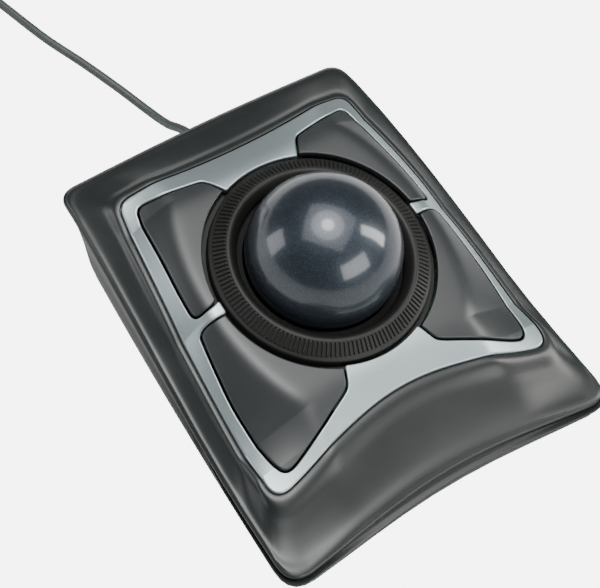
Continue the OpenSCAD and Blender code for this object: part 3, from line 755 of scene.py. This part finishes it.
class TrackballStage(bpy.types.PropertyGroup):
    """Where the camera stands and how bright the studio is."""

    azimuth: angle_property("Azimuth", "Direction of view, clockwise from +Y", 45.73)
    elevation: angle_property("Elevation", "How far the view looks down", 57.2)
    roll: angle_property("Roll", "Turn of the camera about its view", 13.1)
    distance: length_property("Distance", "From the camera to the point it looks at", 0.634)
    lens: FloatProperty(name="Lens", description="Focal length in millimetres",
                        default=111.3, min=10)
    brightness: FloatProperty(name="Brightness", description="Multiplies the lights and the world",
                              default=1.0, min=0)


# ---- pieces

CORD_Z = 1.8
COIL_AT = (-80, 246)
COIL_R = 20.0
COIL_LOW = 0.8
COIL_GAP = 0.2
COIL_ENTRY = 20.0
COIL_TURNS = 3
COIL_LAYERS = 4
COIL_STEPS = 24
CLIMB = 30.0
RELIEF_END = EXIT_Y + 14
PLUG_AT = (-118, 232)
PLUG_Z = 4.0
PLUG_GAP = 0.02
TUBE_SIDES = 48
RUN_POINTS = [
    (0, RELIEF_END, EXIT_Z), (0, RELIEF_END + 2, EXIT_Z), (0, RELIEF_END + 4, EXIT_Z),
    (-0.2, RELIEF_END + 8, EXIT_Z - 0.8), (-0.9, RELIEF_END + 12.5, EXIT_Z - 3),
    (-2.2, RELIEF_END + 18.5, EXIT_Z - 6.2), (-4.5, 103, CORD_Z), (-8.5, 117, CORD_Z),
    (-14, 134, CORD_Z), (-20.5, 152, CORD_Z), (-27, 176, CORD_Z), (-33.5, 198, CORD_Z),
    (-42, 219, CORD_Z), (-49.5, 235, CORD_Z + 0.3), (-53.5, 247, CORD_Z + 0.7)]
TAIL_POINTS = [
    (-98, 265.5, 11.5), (-108, 257, 8), (-115, 248, 4.6), (PLUG_AT[0], PLUG_AT[1] + 9, PLUG_Z),
    (PLUG_AT[0], PLUG_AT[1] + 4, PLUG_Z), (PLUG_AT[0], PLUG_AT[1], PLUG_Z)]

# along the plug's grip: distance, half width, half height and how square it is
GRIP_STATIONS = [
    (0, 2.3, 2.3, 2), (1.4, 2.5, 2.4, 2), (1.6, 2.1, 2.1, 2), (2.6, 2.2, 2.2, 2),
    (2.8, 2.8, 2.7, 2), (4.2, 2.9, 2.8, 2), (4.4, 2.4, 2.4, 2), (5.4, 2.5, 2.5, 2),
    (5.6, 3.2, 3.0, 2.2), (7.2, 3.4, 3.1, 2.4), (8.6, 4.4, 3.4, 3), (9.6, 6.2, 3.8, 4),
    (10.6, 7.1, 3.95, 5), (12, 7.45, 4.0, 6), (16, 7.3, 3.85, 6), (20, 7.3, 3.8, 6),
    (25, 7.45, 3.95, 6), (28, 7.5, 4.0, 6), (28.7, 7.4, 3.9, 6), (29, 7.0, 3.6, 6)]

# round the coil: the strap's angle in degrees and its half width there
STRAP_RINGS = (
    (205, 7.1), (205.4, 7.5), (206.5, 7.7), (215, 7.75), (223.5, 7.7), (224.6, 7.5), (225, 7.1))
STRAP_Z, STRAP_HALF, STRAP_SQUARE = COIL_LOW + 7, 7.7, 5

# hinge lugs, pins and switch stubs, in the tilted ring frame and for the back right button
LUGS_Y = (14.0, 29.0)
LUG_HALF_Y = 1.2
LUG_LOW = -12.9
LUG_BLOCKS = ((0, 1.9, -9.1), (2, 1.4, -6.2))
PINS_Y = ((10.6, 14.0), (28.4, 32.4))
PIN_Z, PIN_R = -11, 1.2
STUB_X, STUB_Y, STUB_Z, STUB_R = 28, 41, (-3.55, -1.6), 1.6


def coil_points(pitch):
    """The turns of the coil: flat spirals, one on another, inward and outward by turns."""
    half = COIL_TURNS / 2 * pitch
    outer, inner = COIL_R + half, COIL_R - half
    angle, points = COIL_ENTRY, []
    for layer in range(COIL_LAYERS):
        start, stop = (outer, inner) if layer % 2 == 0 else (inner, outer)
        z = COIL_LOW + COIL_GAP + pitch * (layer + 0.5)
        for t in np.linspace(0, 1, COIL_TURNS * COIL_STEPS + 1):
            points.append((start + (stop - start) * t, angle + 360 * COIL_TURNS * t, z))
        angle += 360 * COIL_TURNS
        if layer < COIL_LAYERS - 1:
            points += [(stop, angle + CLIMB * t, z + pitch * (3 * t * t - 2 * t ** 3))
                       for t in (0.25, 0.5, 0.75)]
            angle += CLIMB
    return [(COIL_AT[0] + r * math.cos(math.radians(a)),
             COIL_AT[1] + r * math.sin(math.radians(a)), z) for r, a, z in points]


class TRACKBALL_OT_cord(bpy.types.Operator):
    """Lay the cord from its strain relief to the coil and on to its plug"""

    bl_idname = "trackball.cord"
    bl_label = "Cord"

    def execute(self, context):
        diameter = context.scene.trackball_sizes.cord_diameter
        turns = coil_points(diameter / MM)
        run = spline(RUN_POINTS + turns[:1], 6)
        tail = spline([turns[-1]] + TAIL_POINTS, 6)
        path = in_row(np.vstack([run[:-1], turns, tail[1:]])) * MM
        curve = bpy.data.curves.new("cord", "CURVE")
        curve.dimensions = "3D"
        curve.bevel_depth = diameter / 2
        curve.bevel_resolution = 5
        curve.use_fill_caps = True
        line = curve.splines.new("POLY")
        line.points.add(len(path) - 1)
        line.points.foreach_set("co", np.column_stack([path, np.ones(len(path))]).ravel())
        line.use_smooth = True
        cord = settle(bpy.data.objects.new("cord", curve), "housing", "cord_rubber",
                      ("cord_run", "cord_coil", "cord_tail"))
        tuple(path[0])
        plug_body()
        coil_tie()
        return {"FINISHED"}


def squared(angle, power):
    """How far a rounded square of half width one reaches at an angle."""
    return (np.abs(np.cos(angle)) ** power + np.abs(np.sin(angle)) ** power) ** (-1 / power)


def plug_body():
    """The plug's moulded grip: a rounded block with a thumb dish and a ribbed neck."""
    angle = np.linspace(0, 2 * math.pi, TUBE_SIDES, endpoint=False)
    rows = []
    for along, half_x, half_z, power in GRIP_STATIONS:
        size = squared(angle, power)
        rows.append(in_row(np.column_stack([
            PLUG_AT[0] + half_x * size * np.cos(angle),
            np.full(TUBE_SIDES, PLUG_AT[1] - PLUG_GAP - along),
            PLUG_Z + half_z * size * np.sin(angle)])))
    solid = Solid()
    solid.grid(rows)
    solid.caps(0, TUBE_SIDES, len(rows))
    return solid.build("usb_grip", "housing", "plug_plastic", ("usb_overmould",), 40)


def coil_tie():
    """A soft strap round the coil's bundle, with rounded edges."""
    angle = np.linspace(0, 2 * math.pi, TUBE_SIDES, endpoint=False)
    size = squared(angle, STRAP_SQUARE)
    rows = []
    for turn, swell in STRAP_RINGS:
        a = math.radians(turn)
        r = COIL_R + swell * size * np.cos(angle)
        up = np.clip(swell * size * np.sin(angle), -STRAP_HALF, STRAP_HALF)
        rows.append(in_row(np.column_stack([
            COIL_AT[0] + r * math.cos(a), COIL_AT[1] + r * math.sin(a), STRAP_Z + up])))
    solid = Solid()
    solid.grid(rows, flip=True)
    solid.caps(0, TUBE_SIDES, len(rows), flip=True)
    return solid.build("coil_strap", "housing", "tie_rubber", ("coil_tie",), 50)


class TRACKBALL_OT_shell(bpy.types.Operator):
    """Build the dark outer shell with its flared rim"""

    bl_idname = "trackball.shell"
    bl_label = "Shell"

    def execute(self, context):
        def above(loop, height):
            return np.column_stack([loop, height])

        opening = moved(BEZEL_LINE, FRAME_GAP)
        lip = above(opening, top_z(opening[:, 0], opening[:, 1]))
        rim = above(RIM_LINE, rim_z(RIM_LINE[:, 0], RIM_LINE[:, 1]))
        foot = above(FOOT_LINE, np.full(len(FOOT_LINE), FOOT_Z))
        front = np.clip((-lip[:, 1] - SCOOP_START) / SCOOP_BLEND, 0, 1)

        def between(share, dip, front_dip):
            ring = lip + (rim - lip) * share
            ring[:, 2] -= dip + (front_dip - dip) * front
            return ring

        def shifted(ring, out, up):
            flat = moved(ring[:, :2], out)
            return np.column_stack([flat, ring[:, 2] + up])

        under = shifted(rim, -1.1, -2.4)
        middle = shifted(under + (foot - under) * 0.5, -0.6, 0)
        # each ring of the section, with the steps from it to the next
        controls, steps = zip(
            (shifted(lip, 0, -2.4), 1), (shifted(lip, 0, -0.55), 3),
            (shifted(lip, 0.16, -0.16), 2), (shifted(lip, 0.55, -0.1), 6),
            (between(0.3, 0.5, 0.95), 5), (between(0.55, 0.65, 1.55), 5),
            (between(0.78, 0.45, 1.2), 4), (between(0.92, 0, 0.35), 3),
            (shifted(rim, -0.9, -0.05), 2), (shifted(rim, -0.25, -0.4), 2),
            (shifted(rim, 0, -1.1), 4), (under, 8), (middle, 6), (shifted(foot, 0, 0.5), 2),
            (shifted(foot, -0.4, 0), 1), (shifted(foot, -SHELL_WALL, 0), 4),
            (shifted(middle, -SHELL_WALL, 0), 4), (shifted(under, -SHELL_WALL - 0.6, -0.9), 3),
            (shifted(between(0.4, 0.6, 1.2), 0, -SHELL_WALL), 3), (shifted(lip, 0.2, -3.9), 1),
            (shifted(lip, -2.2, -3.9), 1), (shifted(lip, -2.2, -2.45), 1),
            (shifted(lip, 0, -2.4), 0))
        solid = Solid()
        solid.grid([in_row(ring) for ring in lofted(controls, steps[:-1])], closed_rows=True)
        solid.build("shell", "housing", "shell_plastic", ("upper_shell",), 55)
        return {"FINISHED"}


class TRACKBALL_OT_bezel(bpy.types.Operator):
    """Build the silver frame round the buttons"""

    bl_idname = "trackball.bezel"
    bl_label = "Silver frame"

    def execute(self, context):
        edge = context.scene.trackball_sizes.bezel_edge / MM
        solid = Solid()
        outer = resampled(BEZEL_LINE, 0.5)
        plate(solid, outer, [frame_hole()], top_z, PLATE_T, edge, spacing=1.0)
        solid.build("silver_frame", "housing", "bezel_paint", ("bezel",))
        return {"FINISHED"}


class TRACKBALL_OT_buttons(bpy.types.Operator):
    """Build the four buttons with their hinge lugs, pins and switch stubs"""

    bl_idname = "trackball.buttons"
    bl_label = "Buttons"

    def execute(self, context):
        edge = context.scene.trackball_sizes.button_edge / MM
        for end, way in (("back", 1), ("front", -1)):
            cap = Solid()
            plan = moved(button_area(end), -BUTTON_GAP)
            plate(cap, plan, [], top_z, PLATE_T, edge, spacing=1.1)
            for side_name, side in (("left", -1), ("right", 1)):
                solid = cap.sided(side)
                for y in LUGS_Y:
                    for inset, half_x, top in LUG_BLOCKS:
                        x = side * (HINGE_X - inset)
                        solid.block((x - half_x, way * y - LUG_HALF_Y, LUG_LOW),
                                    (x + half_x, way * y + LUG_HALF_Y, top), in_tilt)
                for ends in PINS_Y:
                    solid.rod(*((side * HINGE_X, way * y, PIN_Z) for y in ends), PIN_R, in_tilt)
                solid.rod(*((side * STUB_X, way * STUB_Y, z) for z in STUB_Z), STUB_R, in_tilt)
                name = f"button_{end}_{side_name}"
                solid.build("cap_" + name, name, "button_plastic", (name,))
        return {"FINISHED"}


class TRACKBALL_OT_ring(bpy.types.Operator):
    """Build the scroll ring with its ribbed band"""

    bl_idname = "trackball.ring"
    bl_label = "Scroll ring"

    def execute(self, context):
        sizes = context.scene.trackball_sizes
        tall = sizes.rib_height / MM
        # share of a rib's pitch and how far the rib has risen there
        rib = ((0.0, 0), (0.18, 0), (0.27, 0.55), (0.36, 1), (0.5, 1), (0.64, 1), (0.73, 0.55),
               (0.82, 0))
        pitch = 2 * math.pi / sizes.rib_count
        angles = np.array([(k + at) * pitch for k in range(sizes.rib_count) for at, _ in rib])
        rise = np.tile([up for _, up in rib], sizes.rib_count) * tall
        band_out, band_in = np.array([38.1, 0.65]), np.array([34.1, 3.05])
        along = (band_in - band_out) / np.linalg.norm(band_in - band_out)
        facing = np.array([along[1], -along[0]])
        # radius and height round the section, and the share of the ribs' rise
        rows = [(p, 0.0) for p in (
            (31.05, -1.9), (31.05, -4.9), (37, -4.9), (37, -8.4), (37.8, -8.4), (37.8, -4.9),
            (41.6, -4.9), (41.6, -4.1), (41.4, -3.9), (39.8, -3.9), (39.6, -3.7), (39.6, -0.75),
            (39.52, -0.4), (39.3, -0.1), (38.95, 0.12), (38.5, 0.32), (38.25, 0.5))]
        rows += [(band_out + (band_in - band_out) * t, up) for t, up in (
            (0, 0), (0.03, 0.75), (0.06, 1), (0.3, 1), (0.6, 1), (0.9, 1), (0.96, 1), (1, 1))]
        rows += [(p, 0.0) for p in (
            (34.0, 3.52), (33.8, 3.66), (33.4, 3.78), (32.9, 3.8), (32.4, 3.66), (31.9, 3.3),
            (31.4, 2.8), (30.9, 2.15), (30.4, 1.45), (30.0, 0.8), (29.7, 0.2), (29.6, -0.3),
            (29.6, -1.7), (29.75, -1.9))]
        rings = []
        for p, up in rows:
            r = p[0] + facing[0] * rise * up
            z = p[1] + facing[1] * rise * up
            rings.append(in_tilt(np.column_stack([r * np.cos(angles), r * np.sin(angles), z])))
        solid = Solid()
        solid.grid(rings, closed_rows=True)
        solid.build("ribbed_ring", "scroll_ring", "ring_plastic", ("scroll_ring",), 38)
        return {"FINISHED"}


class TRACKBALL_OT_ball(bpy.types.Operator):
    """Build the polished ball"""

    bl_idname = "trackball.ball"
    bl_label = "Ball"

    def execute(self, context):
        radius = context.scene.trackball_sizes.ball_diameter / MM / 2
        solid = Solid()
        side = 40
        row = side + 1
        lines = np.tan(np.linspace(-math.pi / 4, math.pi / 4, row))
        u, v = (a.ravel() for a in np.meshgrid(lines, lines))
        starts = [j * row + i for j in range(side) for i in range(side)]
        faces = [(at, at + 1, at + row + 1, at + row) for at in starts]
        one = np.ones_like(u)
        middle = in_tilt(np.array([0, 0, BALL_RISE]))
        for cube in ((u, v, one), (v, u, -one), (one, u, v),
                     (-one, v, u), (v, one, u), (u, -one, v)):
            p = np.column_stack(cube)
            p /= np.linalg.norm(p, axis=1)[:, None]
            solid.add(middle + p * radius, faces, p)
        solid.build("polished_ball", "ball", "ball_gloss", ("ball",))
        return {"FINISHED"}


class TRACKBALL_OT_frame_parts(bpy.types.Operator):
    """Give every CAD part that stays visible its own finish"""

    bl_idname = "trackball.frame_parts"
    bl_label = "Inner parts"

    def execute(self, context):
        for part in frame["record"]["subparts"]:
            obj = frame["nodes"][part["node"]]
            obj.data.materials.clear()
            obj.data.materials.append(finish(part["material_slot"]))
        return {"FINISHED"}


# the stage, in metres, watts and degrees
LOOK_AT = Vector((-0.0145, -0.0007, 0.0317))
LIT_AT = Vector((0, 0, 0.03))
FLOOR_HALF = 4.0
FLOORS = (("floor", 6.0, True), ("floor_bounce", 0.45, False))
WORLD_GLOW = 0.12
BOX_OVER_TURN = -52
LIGHTS = (
    ("box_over", "RECTANGLE", (0.02, 0.12, 1.3), 1.6, 1.5, 15, (1.0, 0.99, 0.98)),
    ("box_over_middle", "DISK", (0, 0.1, 1.28), 1.0, 1.0, 9, (1.0, 1.0, 1.0)),
    ("box_over_core", "DISK", (0, 0.1, 1.26), 0.36, 0.36, 4.5, (1.0, 1.0, 1.0)),
    ("box_front", "RECTANGLE", (0.2, -1.1, 0.55), 0.9, 0.5, 9, (1.0, 0.99, 0.97)),
    ("box_left", "RECTANGLE", (-1.0, 0.7, 0.24), 0.5, 0.7, 4.5, (0.97, 0.98, 1.0)),
    ("box_right", "RECTANGLE", (0.92, -0.42, 0.55), 0.26, 0.8, 9, (1.0, 0.98, 0.95)))


class TRACKBALL_OT_stage(bpy.types.Operator):
    """Set the camera, the pale floor and the soft lights"""

    bl_idname = "trackball.stage"
    bl_label = "Stage"

    def execute(self, context):
        stage = context.scene.trackball_stage
        level = math.cos(stage.elevation)
        ahead = Vector((math.sin(stage.azimuth) * level, math.cos(stage.azimuth) * level,
                        -math.sin(stage.elevation)))
        right = ahead.cross(Vector((0, 0, 1))).normalized()
        up = right.cross(ahead)
        turn = Matrix.Rotation(-stage.roll, 3, ahead)
        right, up = turn @ right, turn @ up
        camera_data = bpy.data.cameras.new("camera")
        camera_data.lens = stage.lens
        camera_data.sensor_width = 36
        camera_data.clip_start = 0.01
        camera = bpy.data.objects.new("camera", camera_data)
        facing = Matrix((right, up, -ahead)).transposed().to_4x4()
        camera.matrix_world = Matrix.Translation(LOOK_AT - ahead * stage.distance) @ facing
        context.scene.collection.objects.link(camera)
        context.scene.camera = camera
        self.floor(context)
        self.lights(context, stage.brightness)
        return {"FINISHED"}

    def floor(self, context):
        """A white sweep for the camera, and a dimmer one that throws light back at the object."""
        corners = [(x * FLOOR_HALF, y * FLOOR_HALF, 0)
                   for x, y in ((-1, -1), (1, -1), (1, 1), (-1, 1))]
        for name, glow, seen in FLOORS:
            mesh = bpy.data.meshes.new(name)
            mesh.from_pydata(corners, [], [(0, 1, 2, 3)])
            floor = bpy.data.objects.new(name, mesh)
            g = Graph("finish_" + name)
            cloud = g.noise(300, 3, 0.5)
            mesh.materials.append(g.finish(
                base_color=g.mix(cloud.over(0.3, 0.7), (0.84, 0.84, 0.84), (0.88, 0.88, 0.88)),
                roughness=cloud * 0.1 + 0.6, specular_ior_level=0.2, emission_color=(1, 1, 1, 1),
                emission_strength=glow))
            floor.visible_camera = seen
            floor.visible_diffuse = floor.visible_glossy = not seen
            context.scene.collection.objects.link(floor)

    def lights(self, context, brightness):
        """Soft boxes round and over the object, and a pale world."""
        world = bpy.data.worlds.new("studio")
        world.use_nodes = True
        background = world.node_tree.nodes["Background"]
        background.inputs["Color"].default_value = (1, 1, 1, 1)
        background.inputs["Strength"].default_value = WORLD_GLOW * brightness
        context.scene.world = world
        for name, shape, place, width, height, power, tint in LIGHTS:
            data = bpy.data.lights.new(name, "AREA")
            data.shape = shape
            data.size = width
            if shape == "RECTANGLE":
                data.size_y = height
            data.energy = power * brightness
            data.color = tint
            lamp = bpy.data.objects.new(name, data)
            lamp.location = place
            if name == "box_over":
                lamp.rotation_euler = (0, 0, math.radians(BOX_OVER_TURN))
            else:
                toward = LIT_AT - Vector(place)
                lamp.rotation_euler = toward.to_track_quat("-Z", "Y").to_euler()
            context.scene.collection.objects.link(lamp)


class TRACKBALL_PT_panel(bpy.types.Panel):
    """The trackball's pieces, sizes and colours"""

    bl_label = "Trackball"
    bl_idname = "TRACKBALL_PT_panel"
    bl_space_type = "VIEW_3D"
    bl_region_type = "UI"
    bl_category = "Trackball"

    def draw(self, context):
        for operator in OPERATORS:
            self.layout.operator(operator.bl_idname)
        for key, group in GROUPS.items():
            box = self.layout.box()
            for name in group.__annotations__:
                box.prop(getattr(context.scene, key), name)


GROUPS = {"trackball_sizes": TrackballSizes, "trackball_colours": TrackballColours,
          "trackball_stage": TrackballStage}
OPERATORS = (TRACKBALL_OT_stage, TRACKBALL_OT_cord, TRACKBALL_OT_frame_parts, TRACKBALL_OT_shell,
             TRACKBALL_OT_bezel, TRACKBALL_OT_buttons, TRACKBALL_OT_ring, TRACKBALL_OT_ball)


def register():
    for kind in (*GROUPS.values(), *OPERATORS, TRACKBALL_PT_panel):
        bpy.utils.register_class(kind)
    for name, group in GROUPS.items():
        setattr(bpy.types.Scene, name, PointerProperty(type=group))


def unregister():
    for name in GROUPS:
        delattr(bpy.types.Scene, name)
    for kind in (TRACKBALL_PT_panel, *reversed(OPERATORS), *reversed(GROUPS.values())):
        bpy.utils.unregister_class(kind)


def main():
    register()
    for operator in OPERATORS:
        group, name = operator.bl_idname.split(".")
        getattr(getattr(bpy.ops, group), name)()


if __name__ == "__main__":
    main()
